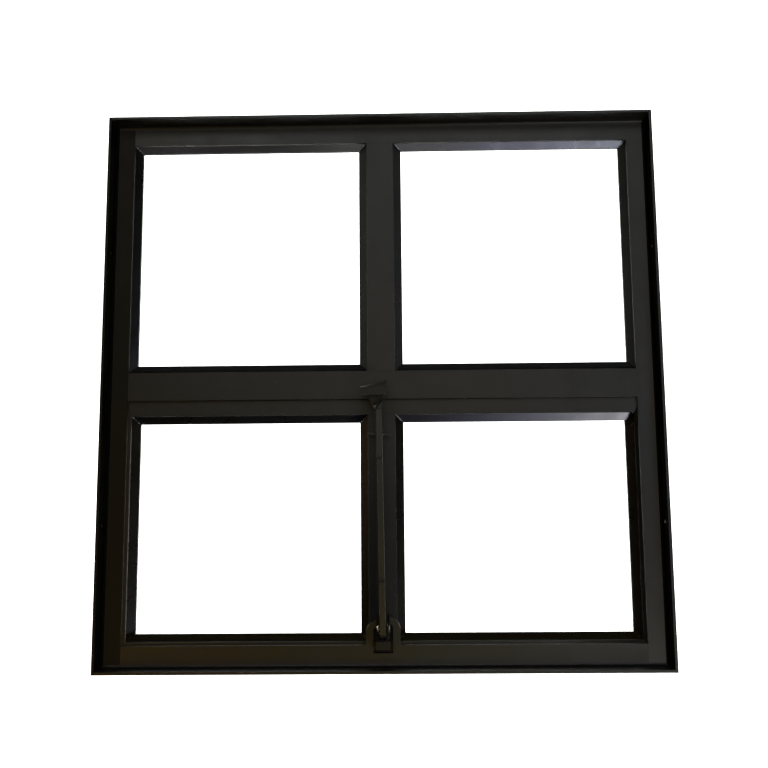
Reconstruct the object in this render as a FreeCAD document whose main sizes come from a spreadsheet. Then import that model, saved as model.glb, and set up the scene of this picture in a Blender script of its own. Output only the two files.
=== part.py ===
"""Steel framed window: two fixed panes over a top-hung sash with two panes and a push-out stay.

Millimetres. +Z is up, +X is to the right seen from the room, and the room lies towards -Y.
The origin is on the underside of the frame, at the middle of its width, level with its face.
"""
import FreeCAD, Part
import math
import os
import re
import Sketcher

SIZES = (
    # The outer frame: an angle section with its lip turned towards the room.
    ("width", 600, "overall width of the frame"),
    ("height", 600, "overall height of the frame"),
    ("section_wall", 3, "thickness of the frame's and the sash's steel"),
    ("lip_depth", 22, "how far the lip stands out in front of the face"),
    ("jamb_leg", 23, "width of a jamb, lip included"),
    ("head_leg", 25, "height of the head, lip included"),
    ("sill_leg", 25, "height of the bottom rail, lip included"),
    ("root_radius", 3, "radius in the corner of the angle section"),
    ("fixing_radius", 3.25, "radius of a fixing hole in a jamb's lip"),
    ("fixing_pitch", 300, "distance between a jamb's two fixing holes"),
    ("fixing_setback", 11, "distance of the fixing holes in front of the face"),
    # The bars that divide the frame.
    ("transom_middle", 300, "height of the transom's middle"),
    ("transom_face", 31, "height of the transom's face"),
    ("mullion_face", 30, "width of both mullions' faces"),
    ("stem_wall", 3, "thickness of a tee bar's stem"),
    ("stem_depth", 21, "how far a tee bar's stem reaches behind its face"),
    # The glazing frames welded behind the faces.
    ("stop_wall", 3, "thickness of a glazing frame's steel"),
    ("stop_root", 5.2, "thickness of the glass stop at its root"),
    ("stop_edge", 0.8, "thickness of the glass stop at its splayed edge"),
    ("stop_depth", 23, "depth of a glazing frame's outer wall"),
    ("stop_set", 3, "gap between the frame's face and the glass stop"),
    ("sash_stop_set", 5, "gap between the sash's face and the glass stop"),
    ("stop_show", 8.8, "width of the glass stop that shows beside a mullion and over the transom"),
    ("side_show", 7, "width of the glass stop that shows beside a jamb or a stile"),
    ("head_show", 5.5, "width of the glass stop that shows under the head"),
    ("rail_show", 8, "width of the glass stop that shows under the sash's top rail"),
    ("sill_show", 6.4, "width of the glass stop that shows over the sash's bottom rail"),
    ("glass_thickness", 4, "thickness of a pane"),
    ("glass_play", 1, "play between a pane's edge and the glazing frame"),
    ("putty_depth", 8.5, "depth of the putty fillet behind a pane"),
    ("putty_edge", 1.5, "width of the putty's outer edge"),
    # The sash.
    ("sash_set", 1.5, "gap between the frame's back and the sash"),
    ("sash_lap", 11, "how far the frame covers the sash at the sides and the bottom"),
    ("sash_top_lap", 7, "how far the transom covers the sash"),
    ("sash_face", 14, "width of the sash's bottom rail and stiles"),
    ("sash_top_face", 23.5, "height of the sash's top rail"),
    ("hinge_inset", 88, "distance of a hinge's middle from the sash's end"),
    ("hinge_length", 60, "length of a hinge"),
    ("hinge_leaf", 3, "thickness of a hinge leaf"),
    ("hinge_reach", 8, "how far the knuckle's axis lies behind the transom's stem"),
    ("hinge_lap", 16, "how far a leaf lies on its stem or glazing frame"),
    # The keeper on the bottom rail.
    ("keeper_width", 36.6, "width of the keeper across both legs"),
    ("keeper_leg", 8, "width of a keeper leg"),
    ("keeper_seat", 13.5, "depth of the keeper's seat in the bottom rail"),
    ("keeper_web", 5.2, "height of the strip that joins the legs"),
    ("keeper_shoulder", 23, "height above the bottom rail where the horns turn inwards"),
    ("keeper_top", 29.5, "height of the right horn's tip above the bottom rail"),
    ("keeper_drop", 3.5, "how much lower the left horn is than the right one"),
    ("keeper_gap", 13.5, "distance between the horns' tips"),
    ("keeper_tip", 8.5, "height of a horn's tip"),
    ("keeper_round", 12, "outer radius of a horn's shoulder"),
    ("keeper_inner_round", 3, "inner radius of a horn's shoulder"),
    # The lug on the sash that carries the stay.
    ("pivot_rise", 18, "height of the stay's pivot above the bottom rail"),
    ("pivot_setback", 11.5, "distance of the pivot in front of the face"),
    ("pivot_radius", 2.5, "radius of the pivot pin"),
    ("pivot_play", 0.05, "radial clearance of the pins in their holes"),
    ("pivot_head", 4, "radius of the pivot pin's heads"),
    ("pivot_head_depth", 1.5, "thickness of the pivot pin's head on the tongue"),
    ("rivet_depth", 3, "thickness of the pivot pin's head beside the stay"),
    ("rivet_round", 2, "radius of the edge of that head"),
    ("lug_width", 14, "width of the lug's block"),
    ("lug_drop", 6, "how far the lug reaches below the bottom rail's upper edge"),
    ("lug_height", 12, "height of the lug's block"),
    ("lug_nose", 8, "height of the block's front"),
    ("tongue_wall", 2.5, "thickness of the lug's tongue"),
    ("tongue_play", 0.3, "clearance between the stay and the lug's tongue"),
    ("tongue_half", 5, "half the depth of the lug's tongue"),
    ("tongue_round", 4, "radius of the tongue's upper corners"),
    # The stay.
    ("stay_width", 6, "width of the stay seen from the room"),
    ("stay_depth", 12, "depth of the stay"),
    ("stay_drop", 13, "how far the stay ends below the transom's face"),
    ("stay_tail", 9, "how far the stay reaches below its pivot"),
    ("stay_round", 5.5, "radius of the stay's lower corners"),
    ("stay_tip", 2.5, "radius of the stay's lower corners seen from the room"),
    ("stay_lean", 0.66, "angle by which the stay leans to the left, in degrees"),
    ("notch_low", 50.5, "height of the lower notch above the pivot"),
    ("notch_pitch", 126, "distance between the two notches"),
    ("notch_height", 4.5, "height of a notch"),
    ("notch_depth", 3.5, "depth of a notch"),
    ("peg_drop", 25, "how far the cross peg lies below the stay's upper end"),
    ("peg_radius", 1.25, "radius of the cross peg"),
    ("peg_left", 12.7, "reach of the peg's level end from the stay's middle"),
    ("peg_bend", 4, "distance of the peg's bend from the stay's middle"),
    ("peg_right", 8.3, "length of the peg's bent end"),
    ("peg_droop", 22, "angle of the peg's bent end, in degrees"),
    # The grip at the stay's upper end.
    ("neck_height", 12.5, "height of the twisted neck above the stay"),
    ("neck_width", 15, "width of the neck's upper end"),
    ("neck_shift", 2.75, "how far the neck's upper end lies to the left of the stay's middle"),
    ("neck_set", 2, "how far the neck's upper end lies in front of the stay's middle"),
    ("grip_wall", 3, "thickness of the grip's plate"),
    ("grip_height", 30.7, "height of the curl's right end above the stay"),
    ("grip_slope", 0.2, "rise of the curl towards the right, as a share of its width"),
    ("grip_depth", 15, "depth of the curl from front to back"),
    ("grip_left", 20.3, "reach of the grip's upper left corner"),
    ("grip_right", 9.9, "reach of the grip's upper right corner"),
    ("grip_taper", 2.8, "how much narrower each side of the grip is at the bottom"),
    ("grip_front", 15.1, "height of the curl's front at its right end"),
    ("grip_corner", 2, "radius of the grip's corners"),
)

doc = FreeCAD.newDocument("steel_framed_window")
sheet = doc.addObject("Spreadsheet::Sheet", "Sizes")
pieces = []


def fill_sheet():
    """Writes each driving size to a cell of its own, under its name."""
    for row, (name, size, meaning) in enumerate(SIZES, start=1):
        sheet.set(f"A{row}", name)
        sheet.set(f"B{row}", str(size))
        sheet.set(f"C{row}", meaning)
        sheet.setAlias(f"B{row}", name)
    doc.recompute()


def sized(formula):
    """Spells every size in a formula as a cell of the sheet, and leaves functions as they are."""
    return re.sub(r"\b[a-z][a-z_]*\b(?!\()", lambda name: "Sizes." + name.group(), formula)


def worth(formula):
    """The present value of a formula, in millimetres."""
    return float(sheet.evalExpression(sized(formula)))


def bind(owner, **formulas):
    """Ties properties of an object to formulas of the sizes."""
    for name, formula in formulas.items():
        owner.setExpression(name.replace("__", "."), sized(formula))


def new_body(label):
    """A body of its own for one sub-part."""
    body = doc.addObject("PartDesign::Body", label)
    body.Label = label
    pieces.append(body)
    return body


def new_sketch(body, plane, offset="0"):
    """A sketch on one of the body's own planes, moved along the plane's normal."""
    sketch = body.newObject("Sketcher::SketchObject", body.Label + "_outline")
    support = next(item for item in body.Origin.OriginFeatures if item.Role == plane)
    sketch.AttachmentSupport = [(support, "")]
    sketch.MapMode = "FlatFace"
    bind(sketch, AttachmentOffset__Base__z=offset)
    return sketch


def fix_point(sketch, shape, place, corner):
    """Ties one point of a sketch to the two formulas of its corner."""
    for kind, formula in zip(("DistanceX", "DistanceY"), corner):
        number = sketch.addConstraint(Sketcher.Constraint(kind, shape, place, worth(formula)))
        sketch.setExpression(f"Constraints[{number}]", sized(formula))


def fix_radius(sketch, shape, formula):
    """Ties the radius of an arc or circle to a formula."""
    number = sketch.addConstraint(Sketcher.Constraint("Radius", shape, worth(formula)))
    sketch.setExpression(f"Constraints[{number}]", sized(formula))


def draw_circle(sketch, centre, radius):
    """A circle whose centre and radius follow formulas."""
    middle = FreeCAD.Vector(worth(centre[0]), worth(centre[1]), 0)
    circle = Part.Circle(middle, FreeCAD.Vector(0, 0, 1), worth(radius))
    shape = sketch.addGeometry(circle, False)
    fix_point(sketch, shape, 3, centre)
    fix_radius(sketch, shape, radius)


def draw_loop(sketch, corners):
    """A closed outline. A corner is two formulas, and a third one gives its radius."""
    count = len(corners)
    points = [FreeCAD.Vector(worth(corner[0]), worth(corner[1]), 0) for corner in corners]
    turns = []
    for index, corner in enumerate(corners):
        back = (points[index - 1] - points[index]).normalize()
        ahead = (points[(index + 1) % count] - points[index]).normalize()
        radius = worth(corner[2]) if len(corner) > 2 else 0.0
        half_angle = back.getAngle(ahead) / 2
        turns.append((back, ahead, radius, radius / math.tan(half_angle), half_angle))
    lines = []
    for index in range(count):
        following = (index + 1) % count
        start = points[index] + turns[index][1] * turns[index][3]
        end = points[following] + turns[following][0] * turns[following][3]
        lines.append(sketch.addGeometry(Part.LineSegment(start, end), False))
    for index, corner in enumerate(corners):
        line_before = lines[index - 1]
        line_after = lines[index]
        back, ahead, radius, cut, half_angle = turns[index]
        if radius == 0.0:
            sketch.addConstraint(Sketcher.Constraint("Coincident", line_before, 2, line_after, 1))
            fix_point(sketch, line_after, 1, corner)
            continue
        middle = points[index] + (back + ahead).normalize() * (radius / math.sin(half_angle))
        first = points[index] + back * cut - middle
        second = points[index] + ahead * cut - middle
        turns_left = first.cross(second).z > 0
        begin, finish = (first, second) if turns_left else (second, first)
        circle = Part.Circle(middle, FreeCAD.Vector(0, 0, 1), radius)
        begin_angle = math.atan2(begin.y, begin.x)
        finish_angle = math.atan2(finish.y, finish.x)
        arc = sketch.addGeometry(Part.ArcOfCircle(circle, begin_angle, finish_angle), False)
        arc_first, arc_second = (1, 2) if turns_left else (2, 1)
        sketch.addConstraint(Sketcher.Constraint("Tangent", line_before, 2, arc, arc_first))
        sketch.addConstraint(Sketcher.Constraint("Tangent", arc, arc_second, line_after, 1))
        fix_radius(sketch, arc, corner[2])
        apex = sketch.addGeometry(Part.Point(points[index]), True)
        fix_point(sketch, apex, 1, corner)
        sketch.addConstraint(Sketcher.Constraint("PointOnObject", apex, 1, line_before))
        sketch.addConstraint(Sketcher.Constraint("PointOnObject", apex, 1, line_after))


def box_corners(low_across, high_across, low_up, high_up):
    """The four corners of an upright rectangle."""
    return (
        (low_across, low_up),
        (high_across, low_up),
        (high_across, high_up),
        (low_across, high_up),
    )


def pad(body, sketch, length, both_ways=False):
    """Adds a sketch's outline to a body as a solid."""
    feature = body.newObject("PartDesign::Pad", body.Label + "_pad")
    feature.Profile = sketch
    feature.SideType = "Symmetric" if both_ways else "One side"
    bind(feature, Length=length)
    doc.recompute()
    return feature


def cut_both_ways(body, sketch, length):
    """Cuts a sketch's outline out of a body, to both sides of the sketch."""
    doc.recompute()
    volume_before = body.Shape.Volume
    feature = body.newObject("PartDesign::Pocket", body.Label + "_cut")
    feature.Profile = sketch
    feature.SideType = "Symmetric"
    bind(feature, Length=length)
    doc.recompute()
    if body.Shape.Volume >= volume_before:
        raise RuntimeError(f"{body.Label}: a cut removes nothing")


def plate(body, loops, front, back):
    """Adds an upright plate between two depths, with the first loop outside and the others cut out."""
    sketch = new_sketch(body, "XZ_Plane", f"-({back})")
    for loop in loops:
        draw_loop(sketch, loop)
    pad(body, sketch, f"({back}) - ({front})")


def bar_across(body, corners, length):
    """Adds a bar that runs along X, with its section given as depth and height."""
    sketch = new_sketch(body, "YZ_Plane")
    draw_loop(sketch, corners)
    pad(body, sketch, length, both_ways=True)


def jamb_section(side):
    """The outline of a jamb seen from above: an angle with its root rounded."""
    outer = f"{side} * width / 2"
    lip = f"{side} * (width / 2 - section_wall)"
    inner = f"{side} * (width / 2 - jamb_leg)"
    return (
        (outer, "-lip_depth"),
        (lip, "-lip_depth"),
        (lip, "0", "root_radius"),
        (inner, "0"),
        (inner, "section_wall"),
        (outer, "section_wall"),
    )


def make_jamb(label, side):
    """One side of the frame: an angle that runs the full height, with two fixing holes in its lip."""
    body = new_body(label)
    section = new_sketch(body, "XY_Plane")
    draw_loop(section, jamb_section(side))
    pad(body, section, "height")
    holes = new_sketch(body, "YZ_Plane", f"{side} * width / 2")
    for place in ("-1", "1"):
        draw_circle(holes, ("-fixing_setback", f"height / 2 + {place} * fixing_pitch / 2"), "fixing_radius")
    cut_both_ways(body, holes, "3 * section_wall")


def make_rail(label, lip_edge, lip_face, toe):
    """The head or the bottom rail: the same angle laid level, with its ends cut to fit the jambs."""
    body = new_body(label)
    bar_across(body, (
        ("-lip_depth", lip_edge),
        ("-lip_depth", lip_face),
        ("0", lip_face, "root_radius"),
        ("0", toe),
        ("section_wall", toe),
        ("section_wall", lip_edge),
    ), "width")
    ends = new_sketch(body, "XY_Plane")
    for side in ("-1", "1"):
        draw_loop(ends, jamb_section(side))
    cut_both_ways(body, ends, "3 * height")
    return body


KEEPER_FOOT = "sill_leg - keeper_seat"


def make_frame():
    """The outer frame, with a notch in the bottom rail that takes the stay's keeper."""
    make_jamb("left_jamb", "-1")
    make_jamb("right_jamb", "1")
    make_rail("head", "height", "height - section_wall", "height - head_leg")
    bottom_rail = make_rail("bottom_rail", "0", "section_wall", "sill_leg")
    notch = new_sketch(bottom_rail, "XZ_Plane")
    draw_loop(notch, box_corners(
        "-keeper_width / 2", "keeper_width / 2", KEEPER_FOOT, "sill_leg + section_wall"))
    cut_both_ways(bottom_rail, notch, "3 * section_wall")


def tee_corners(face_half, face_front):
    """A tee's section: half the face's width on each side of 0, and the stem behind it."""
    face_back = f"{face_front} + section_wall"
    stem_back = f"{face_back} + stem_depth"
    return (
        (f"-{face_half}", face_front),
        (face_half, face_front),
        (face_half, face_back),
        ("stem_wall / 2", face_back),
        ("stem_wall / 2", stem_back),
        ("-stem_wall / 2", stem_back),
        ("-stem_wall / 2", face_back),
        (f"-{face_half}", face_back),
    )


def make_transom():
    """The level tee bar between the fixed panes and the sash."""
    body = new_body("transom")
    section = tee_corners("transom_face / 2", "0")
    upright = [(depth, f"transom_middle + ({across})") for across, depth in section]
    bar_across(body, upright, "width - 2 * jamb_leg")


def make_mullion(label, face_front, low, high):
    """An upright tee bar between two panes."""
    body = new_body(label)
    section = new_sketch(body, "XY_Plane", low)
    draw_loop(section, tee_corners("mullion_face / 2", face_front))
    pad(body, section, f"({high}) - ({low})")


def grown(rectangle, margin):
    """A rectangle's four bounds, moved outwards by a margin."""
    low_across, high_across, low_up, high_up = rectangle
    return (
        f"{low_across} - ({margin})",
        f"{high_across} + ({margin})",
        f"{low_up} - ({margin})",
        f"{high_up} + ({margin})",
    )


def make_putty(label, sight, walls, glass_back):
    """The putty fillet behind a pane: a frame whose inner faces slope from the wall to the sight line."""
    putty_back = f"{glass_back} + putty_depth"
    block = doc.addObject("Part::Box", label + "_block")
    bind(
        block,
        Length=f"({walls[1]}) - ({walls[0]})",
        Width="putty_depth",
        Height=f"({walls[3]}) - ({walls[2]})",
        Placement__Base__x=walls[0],
        Placement__Base__y=glass_back,
        Placement__Base__z=walls[2],
    )
    mouth = grown(walls, "-putty_edge")
    cavity = doc.addObject("Part::Wedge", label + "_cavity")
    bind(
        cavity,
        Xmin=sight[0],
        Xmax=sight[1],
        Zmin=sight[2],
        Zmax=sight[3],
        Ymin=glass_back,
        Ymax=putty_back,
        X2min=mouth[0],
        X2max=mouth[1],
        Z2min=mouth[2],
        Z2max=mouth[3],
    )
    putty = doc.addObject("Part::Cut", label)
    putty.Base = block
    putty.Tool = cavity
    putty.Label = label
    pieces.append(putty)


def splay_stop(frame, sight, front, back):
    """Slopes the front of a glass stop back towards the pane's edge, with mitred corners."""
    mouth = grown(sight, "stop_show")
    splay = frame.newObject("PartDesign::SubtractiveWedge", frame.Label + "_splay")
    bind(
        splay,
        Xmin=mouth[0],
        Xmax=mouth[1],
        Zmin=mouth[2],
        Zmax=mouth[3],
        Ymin=front,
        Ymax=back,
        X2min=sight[0],
        X2max=sight[1],
        Z2min=sight[2],
        Z2max=sight[3],
    )
    doc.recompute()


def make_light(prefix, opening, sight, front, stop_set):
    """One glazed light: the glazing frame behind the faces, the pane and its putty."""
    walls_outside = grown(opening, "(mullion_face - stem_wall) / 2")
    walls_inside = grown(walls_outside, "-stop_wall")
    stop_front = f"{front} + {stop_set}"
    stop_back = f"{stop_front} + stop_root"
    glass_back = f"{stop_back} + glass_thickness"
    frame = new_body(prefix + "_glazing_frame")
    outside = box_corners(*walls_outside)
    plate(frame, (outside, box_corners(*walls_inside)), front, f"{front} + stop_depth")
    plate(frame, (outside, box_corners(*sight)), stop_front, stop_back)
    splay_stop(frame, sight, stop_front, f"{stop_back} - stop_edge")
    glass = new_body(prefix + "_glass")
    pane = box_corners(*grown(walls_inside, "-glass_play"))
    plate(glass, (pane,), stop_back, glass_back)
    make_putty(prefix + "_putty", sight, walls_inside, glass_back)


def mirrored(rectangle):
    """A rectangle's four bounds on the other side of the window's middle."""
    low_across, high_across, low_up, high_up = rectangle
    return (f"-({high_across})", f"-({low_across})", low_up, high_up)


def make_pair_of_lights(prefix, outer, low, high, shows, front, stop_set):
    """The two lights beside a mullion, as mirror images. The shows are the stop's widths below and above."""
    show_low, show_high = shows
    opening = ("mullion_face / 2", outer, low, high)
    sight = (
        "mullion_face / 2 + stop_show",
        f"{outer} - side_show",
        f"{low} + {show_low}",
        f"{high} - {show_high}",
    )
    make_light(prefix + "_left", mirrored(opening), mirrored(sight), front, stop_set)
    make_light(prefix + "_right", opening, sight, front, stop_set)


TRANSOM_TOP = "transom_middle + transom_face / 2"
TRANSOM_BOTTOM = "transom_middle - transom_face / 2"
SASH_FRONT = "section_wall + sash_set"
SASH_BACK = "2 * section_wall + sash_set"
SASH_HALF = "width / 2 - jamb_leg + sash_lap"
SASH_LOW = "sill_leg - sash_lap"
SASH_HIGH = f"{TRANSOM_BOTTOM} + sash_top_lap"
SASH_IN_HALF = f"{SASH_HALF} - sash_face"
SASH_IN_LOW = f"{SASH_LOW} + sash_face"
SASH_IN_HIGH = f"{SASH_HIGH} - sash_top_face"


def make_fixed_lights():
    """The mullion over the transom and the two fixed lights beside it."""
    make_mullion("mullion", "0", TRANSOM_TOP, "height - head_leg")
    make_pair_of_lights(
        "upper",
        "width / 2 - jamb_leg",
        TRANSOM_TOP,
        "height - head_leg",
        ("stop_show", "head_show"),
        "section_wall",
        "stop_set",
    )


def make_sash():
    """The top-hung sash: four mitred face bars, a mullion and two glazed lights."""
    outer = box_corners(f"-({SASH_HALF})", SASH_HALF, SASH_LOW, SASH_HIGH)
    inner = box_corners(f"-({SASH_IN_HALF})", SASH_IN_HALF, SASH_IN_LOW, SASH_IN_HIGH)
    labels = ("sash_bottom_rail", "sash_right_stile", "sash_top_rail", "sash_left_stile")
    for index, label in enumerate(labels):
        following = (index + 1) % len(labels)
        corners = (outer[index], outer[following], inner[following], inner[index])
        plate(new_body(label), (corners,), SASH_FRONT, SASH_BACK)
    make_mullion("sash_mullion", SASH_FRONT, SASH_IN_LOW, SASH_IN_HIGH)
    make_pair_of_lights(
        "sash",
        SASH_IN_HALF,
        SASH_IN_LOW,
        SASH_IN_HIGH,
        ("sill_show", "rail_show"),
        SASH_BACK,
        "sash_stop_set",
    )


def make_hinge(label, side):
    """A closed hinge outside: a leaf under the transom's stem, a leaf on the sash, and their knuckle."""
    upper_face = "transom_middle - stem_wall / 2"
    lower_face = f"{SASH_IN_HIGH} + mullion_face / 2 - stem_wall / 2"
    axis_depth = "section_wall + stem_depth + hinge_reach"
    leaf_depth = "hinge_reach + hinge_lap"
    left_end = f"{side} * ({SASH_HALF} - hinge_inset) - hinge_length / 2"
    solids = []
    for name, bottom in (("upper_leaf", f"{upper_face} - hinge_leaf"), ("lower_leaf", lower_face)):
        leaf = doc.addObject("Part::Box", f"{label}_{name}")
        bind(
            leaf,
            Length="hinge_length",
            Width=leaf_depth,
            Height="hinge_leaf",
            Placement__Base__x=left_end,
            Placement__Base__y=f"{axis_depth} - ({leaf_depth})",
            Placement__Base__z=bottom,
        )
        solids.append(leaf)
    knuckle = doc.addObject("Part::Cylinder", label + "_knuckle")
    knuckle.Placement.Rotation = FreeCAD.Rotation(FreeCAD.Vector(0, 1, 0), 90)
    bind(
        knuckle,
        Radius=f"(({upper_face}) - ({lower_face}) - hinge_leaf) / 2",
        Height="hinge_length",
        Placement__Base__x=left_end,
        Placement__Base__y=axis_depth,
        Placement__Base__z=f"(({upper_face}) + ({lower_face})) / 2",
    )
    solids.append(knuckle)
    hinge = doc.addObject("Part::MultiFuse", label)
    hinge.Shapes = solids
    hinge.Label = label
    pieces.append(hinge)


def make_keeper():
    """The horned keeper: a flat fork set flush into the bottom rail's face."""
    leg_in = "keeper_width / 2 - keeper_leg"
    horns = []
    for shoulder, top in (
        ("sill_leg + keeper_shoulder", "sill_leg + keeper_top"),
        ("sill_leg + keeper_shoulder - keeper_drop", "sill_leg + keeper_top - keeper_drop"),
    ):
        horns.append((
            ("keeper_width / 2", KEEPER_FOOT),
            ("keeper_width / 2", shoulder, "keeper_round"),
            ("keeper_gap / 2", top),
            ("keeper_gap / 2", f"{top} - keeper_tip"),
            (leg_in, f"{shoulder} - keeper_inner_round", "keeper_inner_round"),
            (leg_in, f"{KEEPER_FOOT} + keeper_web"),
        ))
    right_horn, left_horn = horns
    left_horn = [(f"-({corner[0]})", *corner[1:]) for corner in reversed(left_horn)]
    plate(new_body("stay_keeper"), ((*right_horn, *left_horn),), "0", "section_wall")


PIVOT_HEIGHT = "sill_leg + pivot_rise"
PIVOT = ("-pivot_setback", PIVOT_HEIGHT)
STAY_TOP = f"{TRANSOM_BOTTOM} - stay_drop"
PEG_HEIGHT = f"{STAY_TOP} - peg_drop"
STAY_FRONT = "-pivot_setback - stay_depth / 2"
STAY_BACK = "-pivot_setback + stay_depth / 2"
LUG_FOOT = "sill_leg - lug_drop"
LUG_TOP = f"{LUG_FOOT} + lug_height"
TONGUE_SIDE = "stay_width / 2 + tongue_play"


def lean(piece):
    """Leans a piece of the stay to the left, about the pivot."""
    piece.Placement.Rotation = FreeCAD.Rotation(FreeCAD.Vector(0, -1, 0), 1)
    bind(
        piece,
        Placement__Rotation__Angle="stay_lean",
        Placement__Base__x=f"({PIVOT_HEIGHT}) * sin(stay_lean)",
        Placement__Base__z=f"({PIVOT_HEIGHT}) * (1 - cos(stay_lean))",
    )


def make_lug():
    """The lug on the sash: a block that reaches through the keeper, and a tongue beside the stay."""
    body = new_body("stay_lug")
    bar_across(body, (
        (SASH_FRONT, LUG_FOOT),
        (SASH_FRONT, SASH_IN_LOW),
        ("0", LUG_TOP),
        (STAY_FRONT, LUG_TOP),
        (STAY_FRONT, f"{LUG_TOP} - lug_nose"),
        (STAY_BACK, LUG_FOOT),
    ), "lug_width")
    tongue_foot = f"{LUG_TOP} - lug_height / 3"
    tongue_top = f"{PIVOT_HEIGHT} + tongue_half"
    tongue = new_sketch(body, "YZ_Plane", TONGUE_SIDE)
    draw_loop(tongue, (
        ("-pivot_setback - tongue_half", tongue_foot),
        ("-pivot_setback + tongue_half", tongue_foot),
        ("-pivot_setback + tongue_half", tongue_top, "tongue_round"),
        ("-pivot_setback - tongue_half", tongue_top, "tongue_round"),
    ))
    pad(body, tongue, "tongue_wall")
    hole = new_sketch(body, "YZ_Plane", TONGUE_SIDE)
    draw_circle(hole, PIVOT, "pivot_radius + pivot_play")
    cut_both_ways(body, hole, "4 * tongue_wall")


def make_pivot_pin():
    """The rivet through the lug's tongue and the stay, with a rounded head beside the stay."""
    body = new_body("stay_pivot_pin")
    tongue_end = f"{TONGUE_SIDE} + tongue_wall"
    head_end = f"{TONGUE_SIDE} + rivet_depth"
    shank = new_sketch(body, "YZ_Plane", f"-({TONGUE_SIDE})")
    draw_circle(shank, PIVOT, "pivot_radius")
    pad(body, shank, f"{TONGUE_SIDE} + {tongue_end}")
    far_head = new_sketch(body, "YZ_Plane", tongue_end)
    draw_circle(far_head, PIVOT, "pivot_head")
    pad(body, far_head, "pivot_head_depth")
    near_head = new_sketch(body, "XZ_Plane", "pivot_setback")
    draw_loop(near_head, (
        (f"-({head_end})", PIVOT_HEIGHT),
        (f"-({TONGUE_SIDE})", PIVOT_HEIGHT),
        (f"-({TONGUE_SIDE})", f"{PIVOT_HEIGHT} + pivot_head"),
        (f"-({head_end})", f"{PIVOT_HEIGHT} + pivot_head", "rivet_round"),
    ))
    dome = body.newObject("PartDesign::Revolution", "stay_pivot_pin_head")
    dome.Profile = near_head
    dome.ReferenceAxis = (near_head, ["Edge1"])
    dome.Angle = 360
    doc.recompute()


def make_stay():
    """The stay: a flat bar on edge, with two notches in its front edge and holes for its two pins."""
    body = new_body("stay_bar")
    stay_low = f"{PIVOT_HEIGHT} - stay_tail"
    notch_in = f"{STAY_FRONT} + notch_depth"
    outline = [
        (STAY_FRONT, stay_low, "stay_round"),
        (STAY_BACK, stay_low, "stay_round"),
        (STAY_BACK, STAY_TOP),
        (STAY_FRONT, STAY_TOP),
    ]
    low_notch = f"{PIVOT_HEIGHT} + notch_low"
    for middle in (f"{low_notch} + notch_pitch", low_notch):
        outline.append((STAY_FRONT, f"{middle} + notch_height / 2"))
        outline.append((notch_in, f"{middle} + notch_height / 2"))
        outline.append((notch_in, f"{middle} - notch_height / 2"))
        outline.append((STAY_FRONT, f"{middle} - notch_height / 2"))
    bar_across(body, outline, "stay_width")
    holes = new_sketch(body, "YZ_Plane")
    draw_circle(holes, PIVOT, "pivot_radius + pivot_play")
    draw_circle(holes, ("-pivot_setback", PEG_HEIGHT), "peg_radius + pivot_play")
    cut_both_ways(body, holes, "2 * stay_width")
    tip = new_sketch(body, "XZ_Plane", "pivot_setback")
    draw_loop(tip, (
        ("-stay_width", f"{stay_low} - stay_width"),
        ("stay_width", f"{stay_low} - stay_width"),
        ("stay_width", f"{stay_low} + stay_width"),
        ("stay_width / 2", f"{stay_low} + stay_width"),
        ("stay_width / 2", stay_low, "stay_tip"),
        ("-stay_width / 2", stay_low, "stay_tip"),
        ("-stay_width / 2", f"{stay_low} + stay_width"),
        ("-stay_width", f"{stay_low} + stay_width"),
    ))
    cut_both_ways(body, tip, "2 * stay_depth")
    lean(body)


def make_peg():
    """The peg across the stay: level on the left, bent down on the right."""
    level = doc.addObject("Part::Cylinder", "stay_peg_level")
    level.Placement.Rotation = FreeCAD.Rotation(FreeCAD.Vector(0, 1, 0), 90)
    bind(
        level,
        Radius="peg_radius",
        Height="peg_left + peg_bend",
        Placement__Base__x="-peg_left",
        Placement__Base__y="-pivot_setback",
        Placement__Base__z=PEG_HEIGHT,
    )
    elbow = doc.addObject("Part::Sphere", "stay_peg_elbow")
    bent = doc.addObject("Part::Cylinder", "stay_peg_bent")
    bent.Placement.Rotation = FreeCAD.Rotation(FreeCAD.Vector(0, 1, 0), 90)
    bind(bent, Radius="peg_radius", Height="peg_right", Placement__Rotation__Angle="90 + peg_droop")
    bind(elbow, Radius="peg_radius")
    for solid in (elbow, bent):
        bind(
            solid,
            Placement__Base__x="peg_bend",
            Placement__Base__y="-pivot_setback",
            Placement__Base__z=PEG_HEIGHT,
        )
    peg = doc.addObject("Part::MultiFuse", "stay_peg")
    peg.Shapes = [level, elbow, bent]
    peg.Label = "stay_peg"
    lean(peg)
    pieces.append(peg)


def turned_corners(middle, half_width, half_depth, turn):
    """The corners of a rectangle that is turned about its middle by an angle in degrees."""
    corners = []
    for across, along in (("1", "1"), ("-1", "1"), ("-1", "-1"), ("1", "-1")):
        width = f"{across} * ({half_width})"
        depth = f"{along} * ({half_depth})"
        corners.append((
            f"{middle[0]} + {width} * cos({turn}) - {depth} * sin({turn})",
            f"{middle[1]} + {width} * sin({turn}) + {depth} * cos({turn})",
        ))
    return corners


def add_neck(body):
    """The neck: the stay's bar, twisted a quarter turn so that its left side comes to the front."""
    sections = []
    for share, turn in (("0", "0"), ("0.3", "32"), ("0.65", "68"), ("1", "90")):
        section = new_sketch(body, "XY_Plane", f"{STAY_TOP} + {share} * neck_height")
        middle = (f"-{share} * neck_shift", f"-pivot_setback - {share} * neck_set")
        half_width = f"stay_width / 2 + {share} * (grip_wall - stay_width) / 2"
        half_depth = f"stay_depth / 2 + {share} * (neck_width - stay_depth) / 2"
        draw_loop(section, turned_corners(middle, half_width, half_depth, turn))
        sections.append(section)
    neck = body.newObject("PartDesign::AdditiveLoft", body.Label + "_neck")
    neck.Profile = sections[0]
    neck.Sections = sections[1:]
    doc.recompute()


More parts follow.
